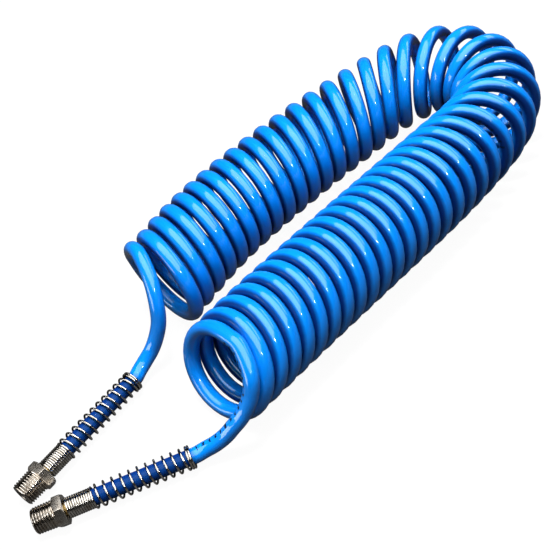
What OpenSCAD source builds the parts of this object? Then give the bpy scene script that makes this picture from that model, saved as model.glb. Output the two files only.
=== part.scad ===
// Coiled air hose: a wound hose folded into a U, with a swivelling male fitting
// and a spring guard on each free end. Millimetres, +Z up, it lies on z = 0.

/* [Hose] */
// Outside diameter of the hose
hose_d = 8; // [7:0.5:10]
// Bore of the hose
hose_bore = 5; // [4.5:0.5:6]

/* [Coil] */
// Outside diameter of the wound hose
coil_d = 55; // [45:1:70]
// Turns from one free end to the other, the half turns at the ends included
coil_turns = 46.5; // [30:0.5:60]

/* [Male body] */
// Major diameter of the pipe thread
thread_d = 13.16; // [12.5:0.02:17]
// Length of the thread
thread_len = 10.5; // [8:0.5:16]
// Chamfer at the thread's tip
thread_chamfer = 1; // [0.5:0.1:1.5]
// Width of the hexagon across its flats
hex_af = 14; // [14:1:19]
// Length of the hexagon
hex_len = 5; // [4:0.5:10]
// Air way through the body
body_bore = 6; // [4:0.5:7]
// Diameter of the socket that the stem turns in
socket_d = 9; // [8.6:0.1:9.2]

/* [Swivel stem] */
// Air way through the stem
stem_bore = 3.5; // [2.5:0.5:3.5]
// Diameter of the neck between the socket and the hose
neck_d = 7.2; // [6.8:0.1:7.4]
// Length of the barbed tail inside the hose
barb_len = 15; // [10:1:22]
// Number of barbs on the tail
barbs = 5; // [3:1:7]
// Height of a barb
barb_h = 0.2; // [0.1:0.05:0.25]
// Radial gap between the stem's head and the socket
running_gap = 0.06; // [0.02:0.01:0.1]

/* [Seal and ring] */
// Thickness of the O-ring
seal_d = 1.3; // [1:0.1:1.5]
// Thickness of the retaining ring's wire
ring_wire = 1; // [0.8:0.1:1.1]
// Opening between the retaining ring's ends, degrees
ring_gap = 30; // [15:5:60]

/* [Spring guard] */
// Diameter of the spring's wire
wire_d = 1.1; // [0.9:0.1:1.4]
// Gap between the hose and the open turns
open_gap = 0.85; // [0.6:0.05:1.5]
// Close turns that grip the hose beside the hexagon
close_turns = 12; // [6:1:14]
// Open turns
open_turns = 11; // [6:1:14]
// Closed turns at the mouth
end_turns = 2; // [1:1:3]
// Distance from one open turn to the next
open_pitch = 4.2; // [3:0.1:6]

/* [Layout] */
// Compass heading of fitting A from the +X axis, degrees
heading_a = -80.5; // [-100:0.5:-60]
// Compass heading of fitting B from the +X axis, degrees
heading_b = -113.5; // [-130:0.5:-95]

/* [Hidden] */
$fn = 64;

// Colours
hose_blue = [0.05, 0.42, 0.93];
plated = [0.72, 0.71, 0.68];
brass = [0.80, 0.66, 0.36];
wire_grey = [0.66, 0.66, 0.64];
seal_black = [0.08, 0.08, 0.08];

// ---- The coil's course, as knots at shares of its turns ----

// Where the headings are given: the front leg, the bend and the back leg
heading_at = [0, 0.2, 0.38, 0.47, 0.54, 0.61, 0.7, 0.85, 1];
// Way that the centre line goes, degrees from +Y
course = [4, 2, 4, 15, 75, 165, 177, 185, 201];
// Way that the turns face, degrees from +Y
facing = [5, 9, 19, 42, 83, 132, 159, 178, 178];
// Where the lean is given, and how far the turns lean over, degrees
lean_at = [0, 0.07, 0.25, 0.48, 0.75, 1];
lean = [25, 20, 12, 1, 2, 3];
// Where the gap is given, and the gap from one turn to the next
gap_at = [0, 0.25, 0.42, 0.55, 0.7, 0.85, 1];
gap = [1.4, 0.9, 0.9, 0.9, 2.4, 1.9, 2.1];

// The wound tube starts at the top of the first turn and ends halfway up the last
coil_from = 0.25;
coil_to = coil_turns - 0.5;
rings_a_turn = 9;
sides = 6;
// Steps a turn in the sum that lays out the centre line
steps = 36;

// Free hose between the coil and each spring, from the coil's end to the spring's
// mouth: steps along X and Y, and the height above or below the coil's end
route_a = [
    [4, -2, 15], [10.5, -3, 20.5], [19, -4.5, 23], [28.5, -7.5, 20.5],
    [36, -11, 15], [41, -15, 7], [43, -18.5, -1], [43, -23, -8.5],
    [42.5, -28, -14.5], [42.5, -33.5, -18], [43.5, -39, -20], [45.5, -44, -20.5]
];
route_b = [
    [18, -2.5, -4.5], [23.5, -6, -10], [25, -10.5, -18], [24, -16.5, -25.5],
    [22, -22.5, -30.5], [20, -27, -34.5], [17.5, -32, -37.5], [15, -37, -39],
    [13, -43, -39.5]
];
lead_sides = 10;
// Rings from one route point to the next
lead_steps = 2;

// ---- Derived sizes ----

hose_r = hose_d / 2;
coil_r = (coil_d - hose_d) / 2;
// A six-sided section with the area of the round hose
section_r = hose_r * sqrt(2 * PI / (sides * sin(360 / sides)));
// The wound tube is cut flat this deep where it lies on the ground
flat_cut = hose_d / 10;
// Height of the hose's centre line at the foot of an upright turn
foot_z = section_r - flat_cut;
wire_r = wire_d / 2;
open_r = hose_r + open_gap + wire_r;
// The hexagon lies on a flat, and the spring clears the ground
spring_clear = 0.5;
axis_z = max(hex_af / 2, open_r + wire_r + spring_clear);

thread_r = thread_d / 2;
socket_r = socket_d / 2;
head_r = socket_r - running_gap;
neck_r = neck_d / 2;
// Lengths along a fitting, from the hexagon's face on the hose side
end_play = 0.05;
ring_groove_w = ring_wire + 2 * end_play;
ring_groove_from = 0.6;
ring_groove_r = socket_r + ring_wire / 2;
head_from = ring_groove_from + ring_groove_w + end_play;
head_len = 7.4;
// Room between the head and the socket's floor
floor_gap = 0.2;
socket_depth = head_from + head_len + floor_gap;
// The seal's groove is wider than the seal, and leaves it just clear of the socket
seal_groove_w = 1.4 * seal_d;
seal_groove_r = socket_r - seal_d - end_play;
seal_at = head_from + head_len / 2;
neck_out = 1;
// Bevels at the air way's mouth in the thread's tip and on the head's leading edge
bore_bevel = 0.5;
head_bevel = 0.3;

// The barbs stretch the hose by this much on the radius, and the hose seats on them
barb_grip = 0.1;
barb_r = hose_bore / 2 + barb_grip;
barb_seat_r = barb_r + end_play;
seat_past = 1;
// Plain length of the tail at the neck, and the share of a barb that slopes
barb_root = 2;
barb_slope = 0.8;

// The hexagon's corners are turned down by this share of their height over the flats
bevel_share = 0.6;
// How far a cut runs past the face it goes through
over = 1;

// From one close turn to the next
close_pitch = wire_d + 0.02;
spring_turns = close_turns + open_turns + end_turns;
// The turns over which the coil widens or closes up
taper_turns = 1;
spring_seat = 0.1;
rings_a_curl = 8;
// The wire's section is a square that leaves the close turns this far apart
turn_gap = 0.43;
wire_side = min(wire_d, close_pitch - turn_gap);
// The close turns just clear the hose, also halfway along each straight of a curl
wire_clear = 0.05;
close_r = (hose_r + wire_clear) / cos(180 / rings_a_curl) + wire_side / 2;
spring_len = close_turns * close_pitch + open_turns * open_pitch + end_turns * close_pitch;
// The hose ends one wire's width past the spring's mouth
mouth = spring_seat + spring_len + wire_d;

// ---- Functions ----

function unit(v) = v / norm(v);
function mix(a, b, t) = a + (b - a) * t;

// Rate of change at knot k, from its neighbours
function slope(at, v, k) =
    let (lo = max(k - 1, 0), hi = min(k + 1, len(at) - 1))
    (v[hi] - v[lo]) / (at[hi] - at[lo]);

// Value at share s of a smooth curve through the knots
function smooth(at, v, s) =
    let (
        k = max([for (i = [0 : len(at) - 2]) if (i == 0 || at[i] <= s) i]),
        h = at[k + 1] - at[k],
        t = (s - at[k]) / h
    )
    v[k] * (2 * t ^ 3 - 3 * t ^ 2 + 1) + v[k + 1] * (3 * t ^ 2 - 2 * t ^ 3)
    + h * slope(at, v, k) * (t ^ 3 - 2 * t ^ 2 + t)
    + h * slope(at, v, k + 1) * (t ^ 3 - t ^ 2);

function course_at(u) = smooth(heading_at, course, u / coil_turns);
function facing_at(u) = smooth(heading_at, facing, u / coil_turns);
function lean_of(u) = smooth(lean_at, lean, u / coil_turns);

// How far the centre line moves on in a turn: the hose and its gap, and more on
// the bend, where the turns fan out
function pitch_at(u) =
    let (
        before = facing_at(max(u - 0.5, 0)),
        after = facing_at(min(u + 0.5, coil_turns)),
        fan = coil_r * max(after - before, 0) * PI / 180
    )
    (hose_d + smooth(gap_at, gap, u / coil_turns)) / cos(facing_at(u) - course_at(u)) + fan;

function step_at(u) = pitch_at(u) / steps * [-sin(course_at(u)), cos(course_at(u))];

// The centre line at each step, summed from the start of the front leg
centre_line =
    let (last = ceil(coil_turns * steps))
    [for (
        i = 0, at = [0, 0], now = step_at(0);
        i <= last;
        i = i + 1,
        next = step_at(min(i / steps, coil_turns)),
        at = at + (now + next) / 2,
        now = next
    ) at];

function centre_at(u) =
    let (i = min(floor(u * steps), len(centre_line) - 2), t = u * steps - i)
    mix(centre_line[i], centre_line[i + 1], t);

// The ring that turn u lies on: its sideways and its leaning upward direction
function side_way(u) = [cos(facing_at(u)), sin(facing_at(u)), 0];
function up_way(u) =
    [-sin(facing_at(u)) * sin(lean_of(u)), cos(facing_at(u)) * sin(lean_of(u)), cos(lean_of(u))];
function outward(u) = cos(360 * u) * side_way(u) + sin(360 * u) * up_way(u);
function coil_point(u) =
    let (c = centre_at(u))
    [c[0], c[1], coil_r * cos(lean_of(u)) + foot_z] + coil_r * outward(u);
function coil_way(u, near = 0.02) = unit(coil_point(u + near) - coil_point(u - near));

// A section of the wound tube around a point, its first corner facing outward
function section(at, way, out) =
    let (
        radial = unit(out - way * (out * way)),
        axial = cross(way, radial)
    )
    [for (k = [0 : sides - 1])
        at + section_r * (cos(360 / sides * k) * radial + sin(360 / sides * k) * axial)];

coil_start = coil_point(coil_from);
coil_end = coil_point(coil_to);
start_way = -coil_way(coil_from);
end_way = coil_way(coil_to);

// Sections around each turn, one of them at its foot, and none within this share of
// a step of the coil's ends
end_room = 0.4 / rings_a_turn;
coil_at = [
    for (k = [0 : ceil(coil_turns * rings_a_turn)])
        let (u = (k + 0.75) / rings_a_turn)
        if (u > coil_from + end_room && u < coil_to - end_room) u
];
// The wound tube, with a straight one hose diameter long at each end
coil_sections = concat(
    [section(coil_start + hose_d * start_way, -start_way, outward(coil_from))],
    [section(coil_start, -start_way, outward(coil_from))],
    [for (u = coil_at) section(coil_point(u), coil_way(u), outward(u))],
    [section(coil_end, end_way, outward(coil_to))],
    [section(coil_end + hose_d * end_way, end_way, outward(coil_to))]
);

// Direction of a fitting, from the hose to the thread's tip
function fitting_way(heading) = [cos(heading), sin(heading), 0];

// The free hose's own points: its straight start at the coil, then the route, with
// the heights eased so that the last point meets the fitting's axis
function route_points(from, way, route) =
    let (
        n = len(route),
        ease = axis_z - from[2] - route[n - 1][2]
    )
    concat(
        [from + hose_d * way],
        [for (i = [0 : n - 1]) from + route[i] + [0, 0, ease * (i + 1) / n]]
    );

// A smooth curve through points that leaves and arrives along the given ways
function smooth_path(p, way_in, way_out) =
    let (
        n = len(p),
        ways = [for (i = [0 : n - 1])
            i == 0 ? way_in * norm(p[1] - p[0])
            : i == n - 1 ? way_out * norm(p[n - 1] - p[n - 2])
            : (p[i + 1] - p[i - 1]) / 2]
    )
    concat(
        [for (i = [0 : n - 2], s = [0 : lead_steps - 1])
            let (t = s / lead_steps)
            p[i] * (2 * t ^ 3 - 3 * t ^ 2 + 1) + p[i + 1] * (3 * t ^ 2 - 2 * t ^ 3)
            + ways[i] * (t ^ 3 - 2 * t ^ 2 + t) + ways[i + 1] * (t ^ 3 - t ^ 2)],
        [p[n - 1]]
    );

path_a = smooth_path(route_points(coil_end, end_way, route_a), end_way, fitting_way(heading_a));
path_b = smooth_path(route_points(coil_start, start_way, route_b), start_way, fitting_way(heading_b));
mouth_a = path_a[len(path_a) - 1];
mouth_b = path_b[len(path_b) - 1];

// Sections along a path, each square to it and turned no more than the path turns.
// The first corner is square to a direction that neither path starts along.
across = [0.3, 1, 0.2];
function path_sections(p, way_in, way_out) =
    let (
        last = len(p) - 1,
        ways = [for (i = [0 : last])
            i == 0 ? way_in : i == last ? way_out : unit(p[i + 1] - p[i - 1])],
        first = unit(cross(ways[0], across))
    )
    [for (
        i = 0, e = first;
        i <= last;
        i = i + 1,
        w = ways[min(i, last)],
        e = unit(e - w * (e * w))
    ) [for (k = [0 : lead_sides - 1], a = 360 / lead_sides * k)
        p[i] + hose_r * (cos(a) * e + sin(a) * cross(ways[i], e))]];

// Radius and place along the fitting of the spring's wire after t turns
function spring_r(t) =
    t <= close_turns - taper_turns ? close_r
    : t >= close_turns ? open_r
    : mix(close_r, open_r, (t - close_turns + taper_turns) / taper_turns);
function spring_at(t) =
    let (
        a = min(t, close_turns),
        b = min(max(t - close_turns, 0), open_turns),
        c = max(t - close_turns - open_turns, 0)
    )
    spring_seat + wire_r + (a + c) * close_pitch + b * open_pitch;

// The wire's sections: square, with faces to the hose and to the next turns
spring_sections =
    let (h = wire_side / 2)
    [for (i = [0 : spring_turns * rings_a_curl])
        let (
            t = i / rings_a_curl,
            out = [cos(360 * t), -sin(360 * t), 0],
            z = -spring_at(t)
        )
        [for (c = [[-h, -h], [-h, h], [h, h], [h, -h]])
            out * (spring_r(t) + c[0]) + [0, 0, z + c[1]]]];

// Least distance between corners of one turn and the next
function self_gap(s, turn) =
    min([for (i = [0 : len(s) - 1 - turn], a = s[i], j = [-1 : 1])
        if (i + turn + j < len(s)) min([for (b = s[i + turn + j]) norm(a - b)])]);
echo(coil_gap = self_gap(coil_sections, rings_a_turn));
echo(spring_gap = self_gap(spring_sections, rings_a_curl));

// The part stands with the middle of its outline over the origin
tip_len = mouth + hex_len + thread_len;
tip_a = mouth_a + tip_len * fitting_way(heading_a);
tip_b = mouth_b + tip_len * fitting_way(heading_b);
lead_sections_a = path_sections(path_a, end_way, fitting_way(heading_a));
lead_sections_b = path_sections(path_b, start_way, fitting_way(heading_b));
corner_x = [for (s = concat(coil_sections, lead_sections_a, lead_sections_b), q = s) q[0]];
corner_y = [for (s = coil_sections, q = s) q[1]];
tip_edge = thread_r - thread_chamfer;
low_y = min(tip_a[1] - tip_edge * abs(cos(heading_a)), tip_b[1] - tip_edge * abs(cos(heading_b)));
middle = [(min(corner_x) + max(corner_x)) / 2, (low_y + max(corner_y)) / 2, 0];

// ---- Building blocks ----

// A closed tube through sections with equal numbers of corners
module tube_through(sections) {
    n = len(sections[0]);
    m = len(sections);
    points = [for (s = sections, q = s) q];
    walls = [for (i = [0 : m - 2], k = [0 : n - 1])
        let (
            a = i * n + k,
            b = i * n + (k + 1) % n,
            c = a + n,
            d = b + n
        )
        each [[a, c, b], [b, c, d]]];
    first_cap = [for (k = [1 : n - 2]) [0, k, k + 1]];
    last_cap = [for (k = [1 : n - 2]) [(m - 1) * n, (m - 1) * n + k + 1, (m - 1) * n + k]];
    polyhedron(points, concat(walls, first_cap, last_cap));
}

// Puts a fitting's own Z along its heading, with Z = 0 at the hexagon's hose side
module at_fitting(mouth_point, heading) {
    translate(-middle)
        translate(mouth_point + mouth * fitting_way(heading))
            rotate([0, 0, heading])
                rotate([0, 90, 0])
                    children();
}

// ---- Pieces of one fitting, each along its own Z ----

module male_body() {
    flat = hex_af / 2;
    corner = flat / cos(30);
    bevel = bevel_share * (corner - flat);
    color(plated)
        difference() {
            union() {
                intersection() {
                    rotate([0, 0, 30])
                        cylinder(h = hex_len, r = corner, $fn = 6);
                    rotate_extrude()
                        polygon([
                            [0, 0], [flat, 0], [corner, bevel],
                            [corner, hex_len - bevel], [flat, hex_len], [0, hex_len]
                        ]);
                }
                rotate_extrude()
                    polygon([
                        [0, hex_len / 2], [thread_r, hex_len / 2],
                        [thread_r, hex_len + thread_len - thread_chamfer],
                        [thread_r - thread_chamfer, hex_len + thread_len],
                        [0, hex_len + thread_len]
                    ]);
            }
            translate([0, 0, -over])
                cylinder(h = hex_len + thread_len + 2 * over, d = body_bore);
            translate([0, 0, hex_len + thread_len - bore_bevel])
                cylinder(h = 2 * bore_bevel, r1 = body_bore / 2, r2 = body_bore / 2 + 2 * bore_bevel);
            translate([0, 0, -over])
                cylinder(h = socket_depth + over, r = socket_r);
            translate([0, 0, ring_groove_from])
                cylinder(h = ring_groove_w, r = ring_groove_r);
        }
}

module swivel_stem() {
    tail_r = barb_r - barb_h;
    tail_end = -neck_out - barb_len;
    barb_step = (barb_len - barb_root) / barbs;
    seal_lo = seal_at - seal_groove_w / 2;
    seal_hi = seal_at + seal_groove_w / 2;
    color(brass)
        difference() {
            rotate_extrude()
                polygon(concat(
                    [[0, tail_end]],
                    [for (i = [0 : barbs - 1])
                        each [
                            [tail_r, tail_end + i * barb_step],
                            [barb_r, tail_end + (i + barb_slope) * barb_step],
                            [barb_r, tail_end + (i + 1) * barb_step]
                        ]],
                    [
                        [tail_r, -neck_out - barb_root], [tail_r, -neck_out],
                        [neck_r, -neck_out], [neck_r, head_from],
                        [head_r, head_from], [head_r, seal_lo],
                        [seal_groove_r, seal_lo], [seal_groove_r, seal_hi],
                        [head_r, seal_hi], [head_r, head_from + head_len - head_bevel],
                        [head_r - head_bevel, head_from + head_len],
                        [0, head_from + head_len]
                    ]
                ));
            translate([0, 0, tail_end - over])
                cylinder(h = head_from + head_len - tail_end + 2 * over, d = stem_bore);
        }
}

// The seal lies on the floor of its groove and just clears the socket
module o_ring() {
    color(seal_black)
        translate([0, 0, seal_at])
            rotate_extrude()
                translate([seal_groove_r + seal_d / 2, 0])
                    circle(d = seal_d, $fn = 32);
}

// A split wire ring, half in the body's groove and half in front of the head
module retaining_ring() {
    color(wire_grey)
        translate([0, 0, ring_groove_from + ring_groove_w / 2])
            rotate([0, 0, ring_gap / 2])
                rotate_extrude(angle = 360 - ring_gap)
                    translate([ring_groove_r - ring_wire / 2 - end_play, 0])
                        circle(d = ring_wire, $fn = 32);
}

// The last stretch of hose, from the stem's neck out to the spring's mouth
module hose_end() {
    color(hose_blue)
        translate([0, 0, -mouth])
            difference() {
                cylinder(h = mouth - neck_out, r = hose_r);
                translate([0, 0, -over])
                    cylinder(h = mouth + 2 * over, d = hose_bore);
                translate([0, 0, mouth - neck_out - barb_len - seat_past])
                    cylinder(h = barb_len + seat_past + over, r = barb_seat_r);
            }
}

module spring_guard() {
    color(wire_grey)
        tube_through(spring_sections);
}

// ---- The nodes ----

// Wound hose, cut flat along the ground
module hose_coil() {
    ground = 40 * coil_d;
    color(hose_blue)
        translate(-middle)
            difference() {
                tube_through(coil_sections);
                translate([-ground / 2, -ground / 2, -coil_d])
                    cube([ground, ground, coil_d]);
            }
}

module hose_lead_a() {
    color(hose_blue)
        translate(-middle)
            tube_through(lead_sections_a);
}

module hose_lead_b() {
    color(hose_blue)
        translate(-middle)
            tube_through(lead_sections_b);
}

module hose_end_a() { at_fitting(mouth_a, heading_a) hose_end(); }
module hose_end_b() { at_fitting(mouth_b, heading_b) hose_end(); }
module male_body_a() { at_fitting(mouth_a, heading_a) male_body(); }
module male_body_b() { at_fitting(mouth_b, heading_b) male_body(); }
module swivel_stem_a() { at_fitting(mouth_a, heading_a) swivel_stem(); }
module swivel_stem_b() { at_fitting(mouth_b, heading_b) swivel_stem(); }
module o_ring_a() { at_fitting(mouth_a, heading_a) o_ring(); }
module o_ring_b() { at_fitting(mouth_b, heading_b) o_ring(); }
module retaining_ring_a() { at_fitting(mouth_a, heading_a) retaining_ring(); }
module retaining_ring_b() { at_fitting(mouth_b, heading_b) retaining_ring(); }
module spring_guard_a() { at_fitting(mouth_a, heading_a) spring_guard(); }
module spring_guard_b() { at_fitting(mouth_b, heading_b) spring_guard(); }

hose_coil();
hose_lead_a();
hose_lead_b();
hose_end_a();
hose_end_b();
male_body_a();
male_body_b();
swivel_stem_a();
swivel_stem_b();
o_ring_a();
o_ring_b();
retaining_ring_a();
retaining_ring_b();
spring_guard_a();
spring_guard_b();
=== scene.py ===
# %% [markdown]
# # A coiled air hose
# One long polyurethane hose is wound into a coil, the coil is folded into a U, and
# each free end carries a spring guard and a swivelling pipe fitting.
#
# The engineering model comes first, as a frame that is never moved. Everything made
# here is laid over it, in metres, with +Z up and the ground at z = 0.

# %% Load the frame
import math

import bmesh
import bpy
import numpy as np
from mathutils import Matrix, Vector


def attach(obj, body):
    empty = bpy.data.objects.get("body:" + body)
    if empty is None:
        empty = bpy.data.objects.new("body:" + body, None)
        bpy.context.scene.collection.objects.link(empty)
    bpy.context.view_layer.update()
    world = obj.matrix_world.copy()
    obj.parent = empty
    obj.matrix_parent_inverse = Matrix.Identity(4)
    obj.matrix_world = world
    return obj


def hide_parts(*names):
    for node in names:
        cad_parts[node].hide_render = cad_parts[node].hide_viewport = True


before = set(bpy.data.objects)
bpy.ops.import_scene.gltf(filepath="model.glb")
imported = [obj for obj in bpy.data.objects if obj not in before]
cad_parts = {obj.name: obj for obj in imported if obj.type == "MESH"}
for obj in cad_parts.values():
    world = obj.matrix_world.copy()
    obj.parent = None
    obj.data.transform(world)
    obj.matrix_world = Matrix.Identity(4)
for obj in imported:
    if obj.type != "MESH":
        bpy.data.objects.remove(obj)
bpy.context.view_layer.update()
MM = 0.001

# %% [markdown]
# ## The camera
# It looks down on the coil from the side of the free ends. Its place is given, and
# three angles say which way it looks: azimuth round the hose, height above the ground
# and a roll about the line of sight. The matrix columns are right, up and backwards.
# Place, angles and focal length are the result of a fit.

# %% Camera
AZIMUTH, ELEVATION, ROLL = (math.radians(a) for a in (59.196, 44.061, -16.558))
EYE = Vector((312.33, -192.29, 360.39)) * MM
FOCAL_PX, FRAME_PX = 919.1, 550
CENTRE_PX = (286, 265)  # where the line of sight meets the frame, from its top left corner

back = Vector((
    math.sin(AZIMUTH) * math.cos(ELEVATION),
    -math.cos(AZIMUTH) * math.cos(ELEVATION),
    math.sin(ELEVATION),
))
level = Vector((math.cos(AZIMUTH), math.sin(AZIMUTH), 0))
upright = back.cross(level)
right = math.cos(ROLL) * level + math.sin(ROLL) * upright
up = back.cross(right)

camera_data = bpy.data.cameras.new("camera")
camera_data.sensor_width = 36
camera_data.lens = FOCAL_PX / FRAME_PX * camera_data.sensor_width
camera_data.shift_x = (FRAME_PX / 2 - CENTRE_PX[0]) / FRAME_PX
camera_data.shift_y = (CENTRE_PX[1] - FRAME_PX / 2) / FRAME_PX
camera_data.clip_start, camera_data.clip_end = 0.01, 20
camera = bpy.data.objects.new("camera", camera_data)
camera.matrix_world = Matrix.Translation(EYE) @ Matrix((right, up, back)).transposed().to_4x4()
bpy.context.scene.collection.objects.link(camera)
bpy.context.scene.camera = camera
print("camera lens", round(camera_data.lens, 1), "mm")

# %% [markdown]
# ## The hose's line
# The wound part follows a rule: turn `u` is a circle that faces one way, leans a
# little, and sits on a centre line that goes round the bend. Course, facing, lean
# and gap are given at a few shares of the turns, with a smooth curve between them,
# which is how the engineering model lays it out too. Their values weren't chosen by
# hand. They are the result of a fit, rounded.

# %% Sizes of the hose and its coil
HOSE_R = 4 * MM
BORE_R = 2.65 * MM
COIL_R = 23.5 * MM
COIL_TURNS = 46.5
COIL_FROM, COIL_TO = 0.25, COIL_TURNS - 0.5
POINTS_A_TURN = 40
STEPS_A_TURN = 36

HEADING_AT = (0, 0.2, 0.38, 0.47, 0.54, 0.61, 0.7, 0.85, 1)
COURSE = (4, 2, 4, 15, 75, 165, 177, 185, 201)
FACING = (5, 9, 19, 42, 83, 132, 159, 178, 178)
LEAN_AT = (0, 0.07, 0.25, 0.48, 0.75, 1)
LEAN = (25, 20, 12, 1, 2, 3)
GAP_AT = (0, 0.25, 0.42, 0.55, 0.7, 0.85, 1)
GAP = (1.4, 0.9, 0.9, 0.9, 2.4, 1.9, 2.1)


def between(t, start, end, start_way, end_way):
    """A smooth step from start to end, leaving and arriving in the given ways."""
    return (
        start * (2 * t**3 - 3 * t**2 + 1) + end * (3 * t**2 - 2 * t**3)
        + start_way * (t**3 - 2 * t**2 + t) + end_way * (t**3 - t**2)
    )


def smooth(at, values, share):
    """The value at a share of a smooth curve through the given knots."""
    last = len(at) - 1
    slope = [
        (values[min(k + 1, last)] - values[max(k - 1, 0)])
        / (at[min(k + 1, last)] - at[max(k - 1, 0)])
        for k in range(last + 1)
    ]
    k = max([i for i in range(last) if at[i] <= share] or [0])
    h = at[k + 1] - at[k]
    t = (share - at[k]) / h
    return between(t, values[k], values[k + 1], h * slope[k], h * slope[k + 1])


def course_at(u):
    return math.radians(smooth(HEADING_AT, COURSE, u / COIL_TURNS))


def facing_at(u):
    return math.radians(smooth(HEADING_AT, FACING, u / COIL_TURNS))


def lean_of(u):
    return math.radians(smooth(LEAN_AT, LEAN, u / COIL_TURNS))


# %% The centre line that the turns sit on
def pitch_at(u):
    """How far one turn moves on: hose and gap, and more where the turns fan out."""
    before, after = facing_at(max(u - 0.5, 0)), facing_at(min(u + 0.5, COIL_TURNS))
    fan = COIL_R * max(after - before, 0)
    gap = smooth(GAP_AT, GAP, u / COIL_TURNS) * MM
    return (2 * HOSE_R + gap) / math.cos(facing_at(u) - course_at(u)) + fan


def step_at(u):
    along = pitch_at(u) / STEPS_A_TURN
    return Vector((-math.sin(course_at(u)), math.cos(course_at(u)))) * along


centre_line = [Vector((0, 0))]
for i in range(math.ceil(COIL_TURNS * STEPS_A_TURN)):
    now, then = (step_at(min(j / STEPS_A_TURN, COIL_TURNS)) for j in (i, i + 1))
    centre_line.append(centre_line[-1] + (now + then) / 2)


def outward(u):
    """From the middle of the ring that turn u lies on to the hose."""
    f, lean, a = facing_at(u), lean_of(u), math.tau * u
    side = Vector((math.cos(f), math.sin(f), 0))
    over = Vector((-math.sin(f) * math.sin(lean), math.cos(f) * math.sin(lean), math.cos(lean)))
    return math.cos(a) * side + math.sin(a) * over


def coil_point(u):
    """A point of the hose's own centre line."""
    i = min(math.floor(u * STEPS_A_TURN), len(centre_line) - 2)
    centre = centre_line[i].lerp(centre_line[i + 1], u * STEPS_A_TURN - i)
    middle_of_ring = Vector((centre.x, centre.y, COIL_R * math.cos(lean_of(u)) + HOSE_R))
    return middle_of_ring + COIL_R * outward(u)


def coil_way(u, near=0.02):
    return (coil_point(u + near) - coil_point(u - near)).normalized()


# %% [markdown]
# ## The free stretches and the two fittings' axes
# From each end of the coil the hose runs straight for one diameter, swings down
# through a few route points and meets the axis of its fitting. The heights are eased
# so that the last point lies on that axis, one hexagon flat above the ground.

# %% Free stretches
AXIS_Z = 7 * MM
HEADING_A, HEADING_B = math.radians(-80.5), math.radians(-113.5)
MIDDLE = Vector((-43.2842, 86.4744, 0)) * MM
ROUTE_A = (
    (4, -2, 15), (10.5, -3, 20.5), (19, -4.5, 23), (28.5, -7.5, 20.5),
    (36, -11, 15), (41, -15, 7), (43, -18.5, -1), (43, -23, -8.5),
    (42.5, -28, -14.5), (42.5, -33.5, -18), (43.5, -39, -20), (45.5, -44, -20.5),
)
ROUTE_B = (
    (18, -2.5, -4.5), (23.5, -6, -10), (25, -10.5, -18), (24, -16.5, -25.5),
    (22, -22.5, -30.5), (20, -27, -34.5), (17.5, -32, -37.5), (15, -37, -39),
    (13, -43, -39.5),
)
LEAD_STEPS = 8


def fitting_way(heading):
    return Vector((math.cos(heading), math.sin(heading), 0))


def free_stretch(start, way, route, heading):
    """Points of a free stretch, from the coil to the mouth of the spring."""
    ease = AXIS_Z - start.z - route[-1][2] * MM
    points = [start + 2 * HOSE_R * way]
    for i, step in enumerate(route):
        lift = Vector((0, 0, ease * (i + 1) / len(route)))
        points.append(start + Vector(step) * MM + lift)
    last = len(points) - 1
    ways = [(points[min(i + 1, last)] - points[i - 1]) / 2 for i in range(last + 1)]
    ways[0] = way * (points[1] - points[0]).length
    ways[-1] = fitting_way(heading) * (points[-1] - points[-2]).length
    line = []
    for i in range(last):
        for s in range(LEAD_STEPS):
            line.append(between(s / LEAD_STEPS, points[i], points[i + 1], ways[i], ways[i + 1]))
    return line + [points[-1]]


coil_start, coil_end = coil_point(COIL_FROM), coil_point(COIL_TO)
lead_a = free_stretch(coil_end, coil_way(COIL_TO), ROUTE_A, HEADING_A)
lead_b = free_stretch(coil_start, -coil_way(COIL_FROM), ROUTE_B, HEADING_B)

# %% [markdown]
# The spring's mouth is where the free stretch meets the straight end of the hose.
# The straight end stops one millimetre short of the hexagon, where the stem's neck
# comes out. Put together from one end to the other, this is the whole hose.

# %% The whole line
MOUTH = 63.08 * MM
NECK_OUT = 1 * MM
END_POINTS = 12


def straight_end(mouth, heading):
    way, reach = fitting_way(heading), MOUTH - NECK_OUT
    return [mouth + way * reach * k / END_POINTS for k in range(1, END_POINTS + 1)]


turns = [float(u) for u in np.arange(COIL_FROM, COIL_TO + 1e-6, 1 / POINTS_A_TURN)]
free_a = lead_a + straight_end(lead_a[-1], HEADING_A)
free_b = straight_end(lead_b[-1], HEADING_B)[::-1] + lead_b[::-1]
hose_line = [p - MIDDLE for p in free_b + [coil_point(u) for u in turns] + free_a]
hose_length = sum((b - a).length for a, b in zip(hose_line, hose_line[1:]))
hexagon_face = {
    "a": lead_a[-1] - MIDDLE + fitting_way(HEADING_A) * MOUTH,
    "b": lead_b[-1] - MIDDLE + fitting_way(HEADING_B) * MOUTH,
}
print("hose is", round(hose_length, 3), "m long in", len(hose_line), "points")

# %% [markdown]
# A hose keeps the side that it was wound with. So each point of the line also knows
# which way is inwards: to the middle of its ring on the coil, and carried along
# without a twist from there on. `wound` is 1 on the coil, where bending has pressed
# the round hose a little oval, and falls to 0 on the free stretches.

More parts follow.
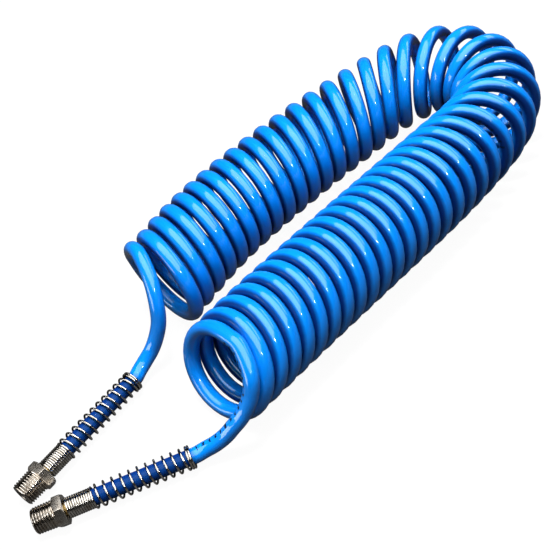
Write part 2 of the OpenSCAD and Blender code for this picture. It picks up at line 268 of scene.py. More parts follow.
# %% Inwards, beside and wound
EASE_POINTS = 10
last_point = len(hose_line) - 1
ways = [
    (hose_line[min(i + 1, last_point)] - hose_line[max(i - 1, 0)]).normalized()
    for i in range(last_point + 1)
]
first_turn, last_turn = len(free_b), len(free_b) + len(turns) - 1
inwards = [
    -outward(turns[min(max(i - first_turn, 0), len(turns) - 1)])
    for i in range(last_point + 1)
]
for i in reversed(range(first_turn)):
    inwards[i] = ways[i + 1].rotation_difference(ways[i]) @ inwards[i + 1]
for i in range(last_turn + 1, last_point + 1):
    inwards[i] = ways[i - 1].rotation_difference(ways[i]) @ inwards[i - 1]
inwards = [(v - v.dot(way) * way).normalized() for v, way in zip(inwards, ways)]
beside = [way.cross(v) for v, way in zip(inwards, ways)]


def wound_at(i):
    away = max(first_turn - i, i - last_turn, 0)
    return max(0, 1 - away / EASE_POINTS) ** 2


wound = [wound_at(i) for i in range(last_point + 1)]
print("wound points:", sum(share == 1 for share in wound))

# %% [markdown]
# ## Two small helpers for node trees
# Geometry and shader trees hold the same kind of arithmetic. `Value` wraps a socket,
# so `1 - mask * 0.3` adds its own Math nodes, and `Tree.node` adds any other node
# with its settings first and its sockets after.

# %% Helpers for node trees
class Tree:
    """A node tree that new nodes are added to."""

    def __init__(self, tree):
        self.tree = tree

    def set_socket(self, socket, value):
        if isinstance(value, Value):
            self.tree.links.new(value.socket, socket)
        elif isinstance(value, bpy.types.NodeSocket):
            self.tree.links.new(value, socket)
        else:
            socket.default_value = value

    def node(self, kind, settings=None, **inputs):
        made = self.tree.nodes.new(kind)
        for name, value in (settings or {}).items():
            setattr(made, name, value)
        for name, value in inputs.items():
            key = int(name[1:]) if name[1:].isdigit() else name.replace("_", " ")
            self.set_socket(made.inputs[key], value)
        return made

    def value(self, kind, output=0, **rest):
        return Value(self, self.node(kind, **rest).outputs[output])

    def mix(self, share, low, high):
        """A colour between two colours."""
        made = self.node("ShaderNodeMix", {"data_type": "RGBA"})
        for index, value in ((0, share), (6, low), (7, high)):
            self.set_socket(made.inputs[index], value)
        return Value(self, made.outputs[2])


class Value:
    """A socket that takes part in sums written as plain Python."""

    def __init__(self, tree, socket):
        self.tree, self.socket = tree, socket

    def maths(self, operation, *values, clamp=False):
        made = self.tree.node("ShaderNodeMath", {"operation": operation, "use_clamp": clamp})
        for index, value in enumerate(values):
            self.tree.set_socket(made.inputs[index], value)
        return Value(self.tree, made.outputs[0])

    def __add__(self, other):
        return self.maths("ADD", self, other)

    def __radd__(self, other):
        return self.maths("ADD", other, self)

    def __sub__(self, other):
        return self.maths("SUBTRACT", self, other)

    def __rsub__(self, other):
        return self.maths("SUBTRACT", other, self)

    def __mul__(self, other):
        return self.maths("MULTIPLY", self, other)

    def __rmul__(self, other):
        return self.maths("MULTIPLY", other, self)

    def __truediv__(self, other):
        return self.maths("DIVIDE", self, other)

    def __neg__(self):
        return self.maths("MULTIPLY", self, -1.0)

    def apply(self, operation):
        """An operation on this value alone, such as SQRT or FLOOR."""
        return self.maths(operation, self)

    def least(self, other):
        return self.maths("MINIMUM", self, other)

    def most(self, other):
        return self.maths("MAXIMUM", self, other)

    def clamped(self):
        return self.maths("ADD", self, 0.0, clamp=True)

    def ramp(self, low, high):
        """0 below low and 1 above high, straight in between."""
        return self.maths("MULTIPLY", self - low, 1 / (high - low), clamp=True)


# %% [markdown]
# A Geometry Nodes tree needs an interface: the geometry in and out, and a named
# input for each size. `geometry_tree` makes one, and `bake_nodes` runs it on an
# object, turns the result into a plain mesh and takes the modifier away again.

# %% Helpers for Geometry Nodes
SOCKET_KINDS = {float: "NodeSocketFloat", int: "NodeSocketInt"}


def geometry_tree(name, **sizes):
    """A new tree and its named inputs. The sizes given say of what kind each input is."""
    group = bpy.data.node_groups.new(name, "GeometryNodeTree")
    group.interface.new_socket("Geometry", in_out="INPUT", socket_type="NodeSocketGeometry")
    group.interface.new_socket("Geometry", in_out="OUTPUT", socket_type="NodeSocketGeometry")
    for size, value in sizes.items():
        kind = SOCKET_KINDS.get(type(value), "NodeSocketMaterial")
        group.interface.new_socket(size.replace("_", " "), in_out="INPUT", socket_type=kind)
    tree = Tree(group)
    inside = group.nodes.new("NodeGroupInput")
    given = {size: Value(tree, inside.outputs[size.replace("_", " ")]) for size in sizes}
    given["geometry"] = inside.outputs["Geometry"]
    return tree, given


def stored(tree, name, kind):
    """A named attribute of the geometry that is being worked on."""
    return tree.node("GeometryNodeInputNamedAttribute", {"data_type": kind}, Name=name).outputs[0]


def keep(tree, geometry, name, kind, value):
    """The geometry with one more named attribute on its points."""
    settings = {"data_type": kind, "domain": "POINT"}
    made = tree.node(
        "GeometryNodeStoreNamedAttribute", settings, Geometry=geometry, Name=name, Value=value
    )
    return made.outputs[0]


def end_tree(tree, geometry, material):
    """Realize Instances, Set Material and the way out."""
    real = tree.node("GeometryNodeRealizeInstances", Geometry=geometry)
    dressed = tree.node("GeometryNodeSetMaterial", Geometry=real.outputs[0], Material=material)
    out = tree.tree.nodes.new("NodeGroupOutput")
    tree.set_socket(out.inputs[0], dressed.outputs[0])


def bake_nodes(obj, tree, **sizes):
    """Runs a Geometry Nodes tree on an object and keeps the result as its mesh."""
    modifier = obj.modifiers.new(tree.tree.name, "NODES")
    modifier.node_group = tree.tree
    for item in tree.tree.interface.items_tree:
        key = item.name.replace(" ", "_")
        if item.in_out == "INPUT" and key in sizes:
            modifier[item.identifier] = sizes[key]
    evaluated = obj.evaluated_get(bpy.context.evaluated_depsgraph_get())
    mesh = bpy.data.meshes.new_from_object(evaluated)
    mesh.name = obj.name
    obj.modifiers.remove(modifier)
    obj.data = mesh


def new_object(name, mesh):
    obj = bpy.data.objects.new(name, mesh)
    bpy.context.scene.collection.objects.link(obj)
    return obj


def line_mesh(name, points):
    mesh = bpy.data.meshes.new(name)
    mesh.from_pydata([tuple(p) for p in points], [(i, i + 1) for i in range(len(points) - 1)], [])
    return mesh


def store(mesh, name, values):
    """One number or vector for each point of a mesh, as a named attribute."""
    vectors = isinstance(values[0], Vector)
    made = mesh.attributes.new(name, "FLOAT_VECTOR" if vectors else "FLOAT", "POINT")
    flat = [x for v in values for x in v] if vectors else values
    made.data.foreach_set("vector" if vectors else "value", flat)


# %% [markdown]
# ## Finishes
# Each finish is a Principled BSDF. What changes over a surface feeds only its colour,
# its roughness, its coat or its bump. The hose is a glossy azure polyurethane with
# faint lines along it from the die it was drawn through, so its pattern follows the
# hose and not the space it lies in. `around_hose` is stored on the mesh for that: the
# side of the hose in X and Y, and the way along it in Z. Where light hardly comes, under
# the two spring guards and on the flanks that face the next turn, shade is painted into
# the hose's colour and its coat is duller. Once a metre it carries a row of short dark bars.

# %% The hose's polyurethane
def new_finish(name, **settings):
    """A material, its tree and its Principled BSDF with the settings on its sockets."""
    material = bpy.data.materials.new(name)
    material.use_nodes = True
    surface = material.node_tree.nodes["Principled BSDF"]
    for socket, value in settings.items():
        surface.inputs[socket.replace("_", " ")].default_value = value
    return material, Tree(material.node_tree), surface


def noise(tree, where, scale, detail):
    made = tree.node(
        "ShaderNodeTexNoise", Vector=where, Scale=scale, Detail=detail, Roughness=0.55
    )
    return Value(tree, made.outputs["Fac"])


def raise_surface(tree, surface, height, depth):
    """A bump whose full height is depth metres."""
    bump = tree.node("ShaderNodeBump", Strength=1.0, Distance=depth, Height=height)
    tree.set_socket(surface.inputs["Normal"], bump.outputs["Normal"])


MARK_ANGLE = math.radians(70)
MARK_STEP, MARK_LENGTH, MARK_WIDTH = 4.2 * MM, 1.5 * MM, 2.2 * MM
MARK_EDGE, ROW_EDGE = 0.12 * MM, 0.1 * MM
LONG_EVERY, LONG_MORE = 5, 0.5 * MM
ROW_FROM, ROW_TO, ROW_EVERY = 65 * MM, 137 * MM, 1000 * MM

# Where shade is painted on the hose: under the two spring guards, and on the flanks of the turns
# that face their neighbours.
GUARD_FROM, GUARD_TO = 60 * MM, 64 * MM
FLANK_FROM, FLANK_EASE = 268 * MM, 20 * MM

AZURE, LIGHT_AZURE = (0.001, 0.180, 0.70, 1), (0.001, 0.205, 0.78, 1)
# SHADED_AZURE is the colour of the painted shade.
SHADED_AZURE = (0.001, 0.008, 0.11, 1)
MARK_INK = (0.003, 0.006, 0.022, 1)


def printed_marks(tree, place):
    """1 on the short dark bars of each row, 0 elsewhere. Every fifth bar is longer."""
    parts = tree.node("ShaderNodeSeparateXYZ", Vector=place)
    x, y, along = (Value(tree, parts.outputs[k]) for k in range(3))
    on_row = x * math.cos(MARK_ANGLE) + y * math.sin(MARK_ANGLE)
    off_row = (y * math.cos(MARK_ANGLE) - x * math.sin(MARK_ANGLE)) * HOSE_R
    in_metre = (along / ROW_EVERY).apply("FRACT") * ROW_EVERY
    row_begun = in_metre.ramp(ROW_FROM, ROW_FROM + ROW_EDGE)
    in_row = row_begun * (1.0 - in_metre.ramp(ROW_TO, ROW_TO + ROW_EDGE))
    count = along / MARK_STEP
    in_step = (count.apply("FRACT") - 0.5) * MARK_STEP
    last_long = (count / LONG_EVERY).apply("FLOOR") * LONG_EVERY
    long_bar = 1.0 - (count.apply("FLOOR") - last_long).ramp(0.4, 0.6)
    half_width = MARK_WIDTH / 2 + long_bar * LONG_MORE
    across = ((half_width - off_row.apply("ABSOLUTE")) / MARK_EDGE).clamped()
    lengthwise = ((MARK_LENGTH / 2 - in_step.apply("ABSOLUTE")) / MARK_EDGE).clamped()
    return across * lengthwise * in_row * on_row.ramp(0.0, 0.1)


def polyurethane():
    material, tree, surface = new_finish(
        "azure_polyurethane", IOR=1.5, Specular_Tint=(0.1, 0.9, 1, 1),
        Coat_Roughness=0.06, Coat_IOR=1.7,
    )
    place = tree.node("ShaderNodeAttribute", {"attribute_name": "around_hose"}).outputs["Vector"]
    wide = tree.node("ShaderNodeVectorMath", {"operation": "MULTIPLY"}, _0=place, _1=(1, 1, 9))
    fine = tree.node("ShaderNodeVectorMath", {"operation": "MULTIPLY"}, _0=place, _1=(9, 9, 14))
    clouds = noise(tree, wide.outputs[0], 1.6, detail=2.0)
    lines = noise(tree, fine.outputs[0], 1.0, detail=4.0)
    where = tree.node("ShaderNodeTexCoord").outputs["Object"]
    specks = noise(tree, where, 2600.0, detail=3.0)
    marks = printed_marks(tree, place) * specks.ramp(0.28, 0.42)
    parts = tree.node("ShaderNodeSeparateXYZ", Vector=place)
    side, along = Value(tree, parts.outputs[1]), Value(tree, parts.outputs[2])
    # Masks for painted shade: under_guard near both ends, between_turns on the flanks of the wound
    # part.
    first_guard = 1.0 - along.ramp(GUARD_FROM, GUARD_TO)
    under_guard = first_guard.most(along.ramp(hose_length - GUARD_TO, hose_length - GUARD_FROM))
    flanks_end = hose_length - FLANK_FROM
    flank = side.apply("ABSOLUTE").ramp(0.6, 0.92) * along.ramp(FLANK_FROM, FLANK_FROM + FLANK_EASE)
    between_turns = flank * (1.0 - along.ramp(flanks_end, flanks_end + FLANK_EASE))

    azure = tree.mix(clouds.ramp(0.3, 0.7), AZURE, LIGHT_AZURE)
    # Painted shade: the colour is darkened under the guards and between the turns.
    shaded = tree.mix(under_guard * 0.95 + between_turns * 0.94, azure, SHADED_AZURE)
    tree.set_socket(surface.inputs["Base Color"], tree.mix(marks, shaded, MARK_INK))
    tree.set_socket(surface.inputs["Roughness"], 0.36 + lines * 0.12 + under_guard * 0.2)
    coat = (0.8 + lines * 0.3).clamped()
    dulled = (under_guard * 0.9).most(between_turns * 0.75)
    tree.set_socket(
        surface.inputs["Coat Weight"], coat * (1.0 - dulled) * (1.0 - marks * 0.6)
    )
    raise_surface(tree, surface, lines, 0.02 * MM)
    return material


HOSE_FINISH = polyurethane()
print("finish:", HOSE_FINISH.name)

# %% [markdown]
# The metal pieces are turned or drawn, then plated. Turned metal carries fine rings
# about its axis, so its pattern is read in the fitting's own frame: a Mapping node
# of the Texture kind undoes the fitting's place and turn.

# %% Frames of the two fittings
HEX_FLAT, HEX_LEN = 7 * MM, 5 * MM
THREAD_R, THREAD_LEN = 6.58 * MM, 10.5 * MM
HEADINGS = {"a": HEADING_A, "b": HEADING_B}


def fitting_frame(end):
    """From the fitting's own Z axis, with 0 at the hexagon's hose side, to its place."""
    turn = Matrix.Rotation(HEADINGS[end], 4, "Z") @ Matrix.Rotation(math.radians(90), 4, "Y")
    return Matrix.Translation(hexagon_face[end]) @ turn


def own_frame(tree, end):
    """Object coordinates in the fitting's own frame."""
    coordinates = tree.node("ShaderNodeTexCoord")
    matrix = fitting_frame(end)
    mapped = tree.node(
        "ShaderNodeMapping",
        {"vector_type": "TEXTURE"},
        Vector=coordinates.outputs["Object"],
        Location=matrix.to_translation(),
        Rotation=matrix.to_euler(),
    )
    return mapped.outputs["Vector"]


# %% Nickel plate, spring wire, brass, rubber and ring steel
ROOT_FROM, ROOT_TO = THREAD_R - 1.0 * MM, THREAD_R - 0.55 * MM
ROOT_SHADE = (0.05, 0.04, 0.03, 1)
RINGS_SCALE = 9000


def turned_metal(name, end, low, high, rough):
    """Plated or bare metal with turning rings, uneven tarnish and painted shade in the thread
    roots.
    """
    material, tree, surface = new_finish(name, Metallic=1.0)
    where = own_frame(tree, end)
    parts = tree.node("ShaderNodeSeparateXYZ", Vector=where)
    x, y, z = (Value(tree, parts.outputs[k]) for k in range(3))
    radius = (x * x + y * y).apply("SQRT")
    rings_at = tree.node("ShaderNodeCombineXYZ", X=radius * RINGS_SCALE, Y=z * RINGS_SCALE)
    rings = noise(tree, rings_at.outputs[0], 1.0, detail=2.0)
    tarnish = noise(tree, where, 260.0, detail=4.0)
    sheen = tree.mix(tarnish.ramp(0.35, 0.72), high, low)
    # Painted shade: the thread's roots are darkened nearly to black.
    in_root = (1.0 - radius.ramp(ROOT_FROM, ROOT_TO)) * z.ramp(HEX_LEN, HEX_LEN + MM)
    tree.set_socket(surface.inputs["Base Color"], tree.mix(in_root * 0.8, sheen, ROOT_SHADE))
    on_hexagon = 1.0 - z.ramp(HEX_LEN - 0.2 * MM, HEX_LEN + 0.4 * MM)
    tree.set_socket(
        surface.inputs["Roughness"],
        rough + rings * 0.06 + tarnish * 0.08 + in_root * 0.2 + on_hexagon * 0.14,
    )
    raise_surface(tree, surface, rings, 0.012 * MM)
    return material


def both_ends(name, low, high, rough):
    return {end: turned_metal(name + end, end, low, high, rough) for end in "ab"}


NICKEL = both_ends("nickel_plate_", (0.50, 0.43, 0.35, 1), (0.92, 0.87, 0.80, 1), 0.05)
BRASS = both_ends("turned_brass_", (0.62, 0.42, 0.14, 1), (0.78, 0.58, 0.25, 1), 0.16)


def drawn_wire(name, inside_shade):
    """Plated wire. On the springs its inside, where it faces the hose, carries painted shade."""
    material, tree, surface = new_finish(name, Metallic=1.0)
    place = tree.node("ShaderNodeTexCoord").outputs["Object"]
    stains = noise(tree, place, 420.0, detail=4.0)
    bright = tree.mix(stains.ramp(0.4, 0.75), (0.95, 0.92, 0.86, 1), (0.46, 0.40, 0.31, 1))
    if inside_shade:
        # Painted shade: the inside of the spring's wire, facing the hose, is made near-black.
        proud = tree.value("ShaderNodeAttribute", 2, settings={"attribute_name": "proud"})
        bright = tree.mix(proud.ramp(0.2, 0.7), (0.035, 0.028, 0.022, 1), bright)
    tree.set_socket(surface.inputs["Base Color"], bright)
    tree.set_socket(surface.inputs["Roughness"], 0.08 + stains * 0.12)
    raise_surface(tree, surface, stains, 0.01 * MM)
    return material


def seal_rubber():
    material, tree, surface = new_finish("seal_rubber", IOR=1.52)
    place = tree.node("ShaderNodeTexCoord").outputs["Object"]
    dust = noise(tree, place, 900.0, detail=4.0)
    black = tree.mix(dust, (0.008, 0.008, 0.009, 1), (0.03, 0.03, 0.032, 1))
    tree.set_socket(surface.inputs["Base Color"], black)
    tree.set_socket(surface.inputs["Roughness"], 0.45 + dust * 0.25)
    raise_surface(tree, surface, dust, 0.03 * MM)
    return material


WIRE_FINISH, RING_FINISH = drawn_wire("spring_wire", True), drawn_wire("ring_wire", False)
RUBBER = seal_rubber()

# %% [markdown]
# ## The hose
# A tube that follows a line is what Curve to Mesh is for: the line becomes a curve
# and a circle is swept along it. The curve's normals are set to point inwards, so the
# circle's X axis points inwards all along the hose, and what is stored on the circle
# says on which side of the hose a point is. After the sweep the wall is pressed oval:
# a little wider beside itself and a little thinner inwards.

# %% A tree that sweeps a round wall along a line
SIDES = 24
WIDER, THINNER = 0.075, 0.03


def sweep_tree():
    tree, given = geometry_tree(
        "round_wall", radius=0.0, sides=0, wider=0.0, thinner=0.0, material=HOSE_FINISH
    )

    def scaled(name, share):
        vector = stored(tree, name, "FLOAT_VECTOR")
        made = tree.node("ShaderNodeVectorMath", {"operation": "SCALE"}, _0=vector, Scale=share)
        return made.outputs[0]

    line = tree.node("GeometryNodeMeshToCurve", Mesh=given["geometry"])
    faced = tree.node(
        "GeometryNodeSetCurveNormal", {"mode": "FREE"},
        Curve=line.outputs[0], Normal=stored(tree, "inwards", "FLOAT_VECTOR"),
    )
    along = tree.node("GeometryNodeSplineParameter").outputs["Length"]
    marked_line = keep(tree, faced.outputs[0], "along_hose", "FLOAT", along)
    circle = tree.node(
        "GeometryNodeCurvePrimitiveCircle", Resolution=given["sides"], Radius=given["radius"]
    )
    place = tree.node("GeometryNodeInputPosition").outputs[0]
    unit = tree.node("ShaderNodeVectorMath", {"operation": "NORMALIZE"}, _0=place)
    marked_circle = keep(tree, circle.outputs[0], "round_hose", "FLOAT_VECTOR", unit.outputs[0])
    wall = tree.node("GeometryNodeCurveToMesh", Curve=marked_line, Profile_Curve=marked_circle)
    parts = tree.node("ShaderNodeSeparateXYZ", Vector=stored(tree, "round_hose", "FLOAT_VECTOR"))
    x, y = (Value(tree, parts.outputs[k]) for k in range(2))
    both = tree.node("ShaderNodeCombineXYZ", X=x, Y=y, Z=stored(tree, "along_hose", "FLOAT"))
    marked = keep(tree, wall.outputs[0], "around_hose", "FLOAT_VECTOR", both.outputs[0])
    press = Value(tree, stored(tree, "wound", "FLOAT")) * given["radius"]
    bulge = tree.node(
        "ShaderNodeVectorMath", {"operation": "ADD"},
        _0=scaled("beside", y * press * given["wider"]),
        _1=scaled("inwards", -(x * press * given["thinner"])),
    )
    oval = tree.node("GeometryNodeSetPosition", Geometry=marked, Offset=bulge.outputs[0])
    smooth_faces = tree.node("GeometryNodeSetShadeSmooth", Geometry=oval.outputs[0])
    end_tree(tree, smooth_faces.outputs[0], given["material"])
    return tree


SWEEP = sweep_tree()


def swept(name, span, radius):
    """The wall round a span of the hose's line."""
    obj = new_object(name, line_mesh(name, hose_line[span]))
    for attribute, values in (("inwards", inwards), ("beside", beside), ("wound", wound)):
        store(obj.data, attribute, values[span])
    bake_nodes(
        obj, SWEEP, radius=radius, sides=SIDES, wider=WIDER, thinner=THINNER, material=HOSE_FINISH
    )
    return obj


# %% [markdown]
# The outer wall is swept over the whole line. The bore shows only in the two ends,
# where the barbed stems sit, so it is a short blind wall there with its faces turned
# inwards. The two walls have as many sides, so a ring of faces joins their rims.

# %% The hose with its two bores
BORE_POINTS = 5


def rim_loops(mesh):
    """The open edges of a mesh, one list for each rim."""
    left = {e for e in mesh.edges if e.is_boundary}
    loops = []
    while left:
        edge = left.pop()
        loop, todo = [edge], list(edge.verts)
        while todo:
            for e in todo.pop().link_edges:
                if e in left:
                    left.remove(e)
                    loop.append(e)
                    todo.extend(e.verts)
        loops.append(loop)
    return loops


def rim_centre(loop):
    return sum((v.co for e in loop for v in e.verts), Vector()) / (2 * len(loop))


def make_hose():
    hose = swept("hose", slice(None), HOSE_R)
    mesh = bmesh.new()
    mesh.from_mesh(hose.data)
    for span in (slice(None, BORE_POINTS), slice(-BORE_POINTS, None)):
        bore = swept("bore", span, BORE_R)
        before = set(mesh.faces)
        mesh.from_mesh(bore.data)
        bmesh.ops.reverse_faces(mesh, faces=[f for f in mesh.faces if f not in before])
        bpy.data.objects.remove(bore)
    loops = rim_loops(mesh)
    for tip in (hose_line[0], hose_line[-1]):
        facing = [loop for loop in loops if (rim_centre(loop) - tip).length < MM]
        bmesh.ops.bridge_loops(mesh, edges=[e for loop in facing for e in loop])
        loops = [loop for loop in loops if loop not in facing]
    for loop in loops:
        bmesh.ops.contextual_create(mesh, geom=loop)
    mesh.to_mesh(hose.data)
    mesh.free()
    hose.data.validate()
    return hose


hose = make_hose()
print("hose has", len(hose.data.polygons), "faces")

# %% [markdown]
# ## The spring guards
# A spring is a wire whose place is a formula of the turns so far: twelve close turns
# that grip the hose beside the hexagon, eleven open ones, and two that close the
# mouth. Geometry Nodes work the formula out for every point of a plain line, so each
# size stays a named input, and a circle is swept along the result. `proud` is stored
# on the wire: 1 on its outside and -1 on its inside, where shade is painted.

# %% A tree that winds a spring along its own Z axis
WIRE_R = 0.55 * MM
CLOSE_R, OPEN_R = 4.6 * MM, 5.4 * MM
CLOSE_PITCH, OPEN_PITCH = 1.12 * MM, 4.2 * MM
CLOSE_TURNS, OPEN_TURNS, END_TURNS = 12.0, 11.0, 2.0
SPRING_SEAT = 0.1 * MM
POINTS_A_WINDING, WIRE_SIDES = 28.0, 10


def spring_tree():
    tree, given = geometry_tree(
        "wound_spring", wire_radius=0.0, close_radius=0.0, open_radius=0.0,
        close_pitch=0.0, open_pitch=0.0, close_turns=0.0, open_turns=0.0, end_turns=0.0,
        material=WIRE_FINISH,
    )
    turns = given["close_turns"] + given["open_turns"] + given["end_turns"]
    line = tree.node(
        "GeometryNodeMeshLine", Count=turns * POINTS_A_WINDING + 1.0, Offset=(0, 0, 0)
    )
    t = tree.value("GeometryNodeInputIndex") / POINTS_A_WINDING
    shut = t.least(given["close_turns"])
    wide = (t - given["close_turns"]).most(0.0).least(given["open_turns"])
    last = (t - given["close_turns"] - given["open_turns"]).most(0.0)
    along = (shut + last) * given["close_pitch"] + wide * given["open_pitch"]
    opened = (t - given["close_turns"] + 1.0).clamped()
    radius = given["close_radius"] + (given["open_radius"] - given["close_radius"]) * opened
    angle = t * math.tau
    place = tree.node(
        "ShaderNodeCombineXYZ",
        X=radius * angle.apply("COSINE"),
        Y=-(radius * angle.apply("SINE")),
        Z=-(along + given["wire_radius"] + SPRING_SEAT),
    )
    coiled = tree.node(
        "GeometryNodeSetPosition", Geometry=line.outputs[0], Position=place.outputs[0]
    )
    sized = keep(tree, coiled.outputs[0], "winding_radius", "FLOAT", radius)
    curve = tree.node("GeometryNodeMeshToCurve", Mesh=sized)
    circle = tree.node(
        "GeometryNodeCurvePrimitiveCircle", Resolution=WIRE_SIDES, Radius=given["wire_radius"]
    )
    wire = tree.node(
        "GeometryNodeCurveToMesh",
        Curve=curve.outputs[0], Profile_Curve=circle.outputs[0], Fill_Caps=True,
    )
    position = tree.node("GeometryNodeInputPosition").outputs[0]
    parts = tree.node("ShaderNodeSeparateXYZ", Vector=position)
    x, y = (Value(tree, parts.outputs[k]) for k in range(2))
    out = (x * x + y * y).apply("SQRT")
    proud = (out - Value(tree, stored(tree, "winding_radius", "FLOAT"))) / given["wire_radius"]
    marked = keep(tree, wire.outputs[0], "proud", "FLOAT", proud)
    smooth_faces = tree.node("GeometryNodeSetShadeSmooth", Geometry=marked)
    end_tree(tree, smooth_faces.outputs[0], given["material"])
    return tree


SPRING = spring_tree()


def make_spring(end):
    spring = new_object("spring_wire_" + end, bpy.data.meshes.new("spring_wire_" + end))
    bake_nodes(
        spring, SPRING, wire_radius=WIRE_R, close_radius=CLOSE_R, open_radius=OPEN_R,
        close_pitch=CLOSE_PITCH, open_pitch=OPEN_PITCH, close_turns=CLOSE_TURNS,
        open_turns=OPEN_TURNS, end_turns=END_TURNS, material=WIRE_FINISH,
    )
    spring.data.transform(fitting_frame(end))
    return spring


springs = {end: make_spring(end) for end in "ab"}
print("a spring has", len(springs["a"].data.polygons), "faces")

# %% [markdown]
# ## The fitting bodies
# A body is a hexagon and a threaded tube in one piece of brass. Both are made as a
# table of rings: one row of points for each step along the axis, one column for each
# step round it. Ten rows to a pitch are enough to follow the thread as it climbs. A
# pipe thread tapers by 1 in 16 across, so by 1 in 32 on its radius.

# %% A skin over rows of points
PITCH, THREAD_DEPTH = 1.337 * MM, 0.80 * MM
SOCKET_R, AIR_R = 4.5 * MM, 3 * MM
SOCKET_DEPTH = 9.35 * MM
GROOVE_FROM, GROOVE_TO, GROOVE_R = 0.6 * MM, 1.7 * MM, 5 * MM
SOCKET_BEVEL, AIR_BEVEL = 0.2 * MM, 0.5 * MM
COLUMNS = 96


def skin(rows):
    """A closed mesh through rows of points, each a ring, joined first to last."""
    mesh = bmesh.new()
    rings = [[mesh.verts.new(p) for p in row] for row in rows]
    for a, b in zip(rings, rings[1:] + rings[:1]):
        for k in range(len(a)):
            mesh.faces.new((a[k - 1], a[k], b[k], b[k - 1]))
    bmesh.ops.remove_doubles(mesh, verts=mesh.verts, dist=1e-7)
    bmesh.ops.dissolve_degenerate(mesh, edges=mesh.edges, dist=1e-7)
    bmesh.ops.recalc_face_normals(mesh, faces=mesh.faces)
    return mesh


def ring(radius, height):
    """One row: radius and height are numbers, or functions of the angle."""
    row = []
    for k in range(COLUMNS):
        angle = math.tau * k / COLUMNS
        r = radius(angle) if callable(radius) else radius
        z = height(angle) if callable(height) else height
        row.append((r * math.cos(angle), r * math.sin(angle), z))
    return row


# %% The hexagon, its corners turned down to a chamfer on both sides
CHAMFER_FROM = 6.75 * MM
CHAMFER_SLOPE = 0.58


def hex_radius(angle):
    return HEX_FLAT / math.cos((angle + math.pi / 6) % (math.pi / 3) - math.pi / 6)


def chamfer_depth(angle):
    return (hex_radius(angle) - CHAMFER_FROM) * CHAMFER_SLOPE


def hexagon_mesh():
    mesh = skin([
        ring(SOCKET_R + SOCKET_BEVEL, 0),
        ring(CHAMFER_FROM, 0),
        ring(hex_radius, chamfer_depth),
        ring(hex_radius, lambda a: HEX_LEN - chamfer_depth(a)),
        ring(CHAMFER_FROM, HEX_LEN),
        ring(SOCKET_R, HEX_LEN),
        ring(SOCKET_R, GROOVE_TO),
        ring(GROOVE_R, GROOVE_TO),
        ring(GROOVE_R, GROOVE_FROM),
        ring(SOCKET_R, GROOVE_FROM),
        ring(SOCKET_R, SOCKET_BEVEL),
    ])
    sharp = [e for e in mesh.edges if e.calc_face_angle(0) > math.radians(24)]
    outer = [e for e in sharp if min(v.co.xy.length for v in e.verts) > CHAMFER_FROM - 1e-6]
    bmesh.ops.bevel(
        mesh, geom=outer, offset=0.12 * MM, segments=2, profile=0.6, affect="EDGES",
        clamp_overlap=True,
    )
    return mesh


# %% The thread, a helix that runs out at the hexagon and tapers to the tip
ROWS_A_PITCH = 10
FULL_CREST, TAPER = 2 * MM, 1 / 32
RUN_OUT = 1.2 * MM
TIP_LEN, TIP_SLOPE = 0.9 * MM, 1.05


def thread_wave(share):
    """1 on a crest and 0 in a root, with the flats of a pipe thread between."""
    slope = abs(2 * (share % 1) - 1)
    return min(1, max(0, (slope - 0.16) / 0.68))


def thread_radius(angle, z):
    along = z - HEX_LEN
    crest = THREAD_R - max(0, along - FULL_CREST) * TAPER
    run_out = min(1, max(0, along / RUN_OUT))
    wave = thread_wave(z / PITCH - angle / math.tau)
    tip = THREAD_R - max(0, along - THREAD_LEN + TIP_LEN) * TIP_SLOPE
    return min(crest - THREAD_DEPTH * (1 - wave) * (0.25 + 0.75 * run_out), tip)


def thread_mesh():
    low, high = HEX_LEN, HEX_LEN + THREAD_LEN
    steps = math.ceil(THREAD_LEN / PITCH * ROWS_A_PITCH)
    heights = [low + THREAD_LEN * i / steps for i in range(steps + 1)]
    rows = [ring(lambda a, z=z: thread_radius(a, z), z) for z in heights]
    rows += [
        ring(AIR_R + AIR_BEVEL, high),
        ring(AIR_R, high - AIR_BEVEL),
        ring(AIR_R, SOCKET_DEPTH),
        ring(SOCKET_R, SOCKET_DEPTH),
        ring(SOCKET_R, low),
    ]
    return skin(rows)


# %% Join the two and put them in place
def make_body(end):
    mesh = bmesh.new()
    for part in (hexagon_mesh(), thread_mesh()):
        piece = bpy.data.meshes.new("part")
        part.to_mesh(piece)
        part.free()
        mesh.from_mesh(piece)
        bpy.data.meshes.remove(piece)
    made = bpy.data.meshes.new("fitting_body_" + end)
    mesh.to_mesh(made)
    mesh.free()
    made.transform(fitting_frame(end))
    made.polygons.foreach_set("use_smooth", [True] * len(made.polygons))
    made.set_sharp_from_angle(angle=math.radians(32))
    made.materials.append(NICKEL[end])
    return new_object("fitting_body_" + end, made)


bodies = {end: make_body(end) for end in "ab"}
print("a body has", len(bodies["a"].data.polygons), "faces")

# %% [markdown]
# ## The inner pieces
# The barbed stem, its O-ring and the retaining ring are the engineering model's own
# solids. Their shape is right, so they stay and only take a finish.

# %% Finishes on the inner pieces
def dress(node, material):
    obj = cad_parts[node]
    for place in obj.material_slots:
        place.material = material


for end in "ab":
    dress("swivel_stem_" + end, BRASS[end])
    dress("o_ring_" + end, RUBBER)
    dress("retaining_ring_" + end, RING_FINISH)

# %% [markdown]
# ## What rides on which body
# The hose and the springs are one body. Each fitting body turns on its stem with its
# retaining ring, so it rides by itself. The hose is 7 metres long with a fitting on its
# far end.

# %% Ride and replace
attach(hose, "hose")
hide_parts("hose_coil", "hose_lead_a", "hose_lead_b", "hose_end_a", "hose_end_b")
for end in "ab":
    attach(springs[end], "hose")
    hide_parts("spring_guard_" + end)
    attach(bodies[end], "fitting_" + end)
    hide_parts("male_body_" + end)

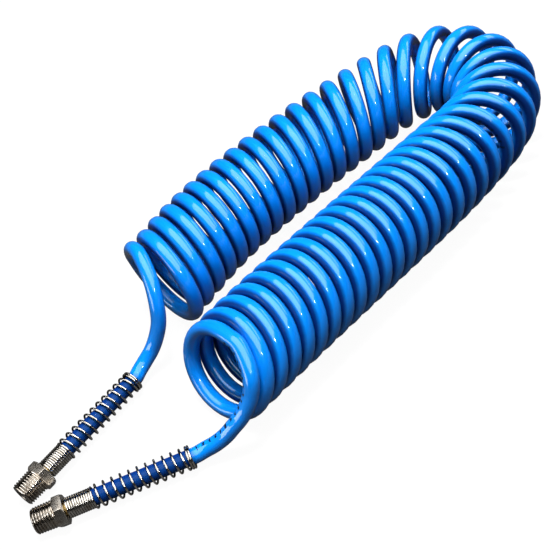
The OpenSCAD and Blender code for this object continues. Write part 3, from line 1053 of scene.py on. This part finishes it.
# %% [markdown]
# ## Floor, backdrop and light
# The ground is a plain pale sheet and the backdrop is white. On the ground that white
# is only mixed in, so the hose keeps a soft shadow under it. To light that bounces the
# sheet is nearly black, so the undersides of the turns stay deep. A glossy ray meets
# the backdrop only up to a little above the horizon: over that it finds a dim ceiling,
# and this is what gives gloss and plating their contrast.

# %% Floor and world
HALF_FLOOR, FLOOR_Z = 3.0, -0.2 * MM
WHITE_SEEN, WHITE_MIRRORED = 0.95, 0.05
AMBIENT, CEILING = 0.005, 0.006


def seen_and_glossy(tree):
    """1 for what is seen, straight or through something clear, and 1 for a glossy ray."""
    path = tree.node("ShaderNodeLightPath")
    kinds = ("Is Camera Ray", "Is Glossy Ray", "Is Transmission Ray")
    camera_ray, glossy_ray, clear_ray = (Value(tree, path.outputs[kind]) for kind in kinds)
    return camera_ray.most(clear_ray), glossy_ray


floor_mesh = bpy.data.meshes.new("floor")
corners = ((-1, -1), (1, -1), (1, 1), (-1, 1))
floor_mesh.from_pydata(
    [(x * HALF_FLOOR, y * HALF_FLOOR, FLOOR_Z) for x, y in corners], [], [(0, 1, 2, 3)]
)
floor = new_object("floor", floor_mesh)
paper, paper_tree, paper_surface = new_finish("pale_paper", Roughness=0.9)
paper_surface.inputs["Base Color"].default_value = (0.9, 0.9, 0.9, 1)
paper_surface.inputs["Specular IOR Level"].default_value = 0.0
bounce = paper_tree.node("ShaderNodeBsdfDiffuse", Color=(0.02, 0.02, 0.02, 1))
white = paper_tree.node("ShaderNodeEmission", Color=(1, 1, 1, 1), Strength=1.0)
seen, glossy_ray = seen_and_glossy(paper_tree)
sheet = paper_tree.node(
    "ShaderNodeMixShader", _0=seen, _1=bounce.outputs[0], _2=paper_surface.outputs[0]
)
both = paper_tree.node(
    "ShaderNodeMixShader", _0=seen * WHITE_SEEN + glossy_ray * WHITE_MIRRORED,
    _1=sheet.outputs[0], _2=white.outputs[0],
)
paper_out = paper.node_tree.nodes["Material Output"]
paper_tree.set_socket(paper_out.inputs["Surface"], both.outputs[0])
floor_mesh.materials.append(paper)

world = bpy.data.worlds.new("studio")
bpy.context.scene.world = world
world.use_nodes = True
sky = Tree(world.node_tree)
backdrop = world.node_tree.nodes["Background"]
backdrop.inputs["Color"].default_value = (1, 1, 1, 1)
seen, glossy_ray = seen_and_glossy(sky)
direction = sky.node("ShaderNodeTexCoord").outputs["Generated"]
rise = sky.value("ShaderNodeSeparateXYZ", 2, Vector=direction)
near_horizon = (1.0 - rise.ramp(0.0, 0.1)) * 0.2
mirrored = CEILING + (1 - CEILING) * near_horizon
strength = seen + (1.0 - seen) * (glossy_ray * mirrored + (1.0 - glossy_ray) * AMBIENT)
sky.set_socket(backdrop.inputs["Strength"], strength)


# %% Lamps
CENTRE = (0, 0.03, 0.02)


def lamp(name, place, size, power, shape="RECTANGLE", lights=True, mirrors=True):
    """A soft lamp that faces the hose: it may light it, be mirrored in it, or both."""
    data = bpy.data.lights.new(name, "AREA")
    data.shape, data.size, data.size_y, data.energy = shape, size[0], size[1], power
    obj = bpy.data.objects.new(name, data)
    aim = Vector(CENTRE) - Vector(place)
    obj.matrix_world = Matrix.Translation(place) @ aim.to_track_quat("-Z", "Y").to_matrix().to_4x4()
    obj.visible_camera, obj.visible_diffuse, obj.visible_glossy = False, lights, mirrors
    bpy.context.scene.collection.objects.link(obj)


lamp("key_light", (-0.05, 0.08, 1.0), (0.25, 0.25), 17.0, mirrors=False)
lamp("overhead_softbox", (0.15, 0.05, 1.0), (1.2, 1.6), 16.0)
lamp("far_window", (0.1, 1.0, 0.6), (0.9, 0.25), 1.8, lights=False)
lamp("near_strip", (-0.25, -1.1, 0.32), (0.9, 0.3), 3.6, lights=False)
lamp("eye_light", (0.8, -0.05, 0.66), (0.08, 0.08), 1.5, shape="ELLIPSE", lights=False)

# %% Colour management
view = bpy.context.scene.view_settings
view.view_transform = "Standard"
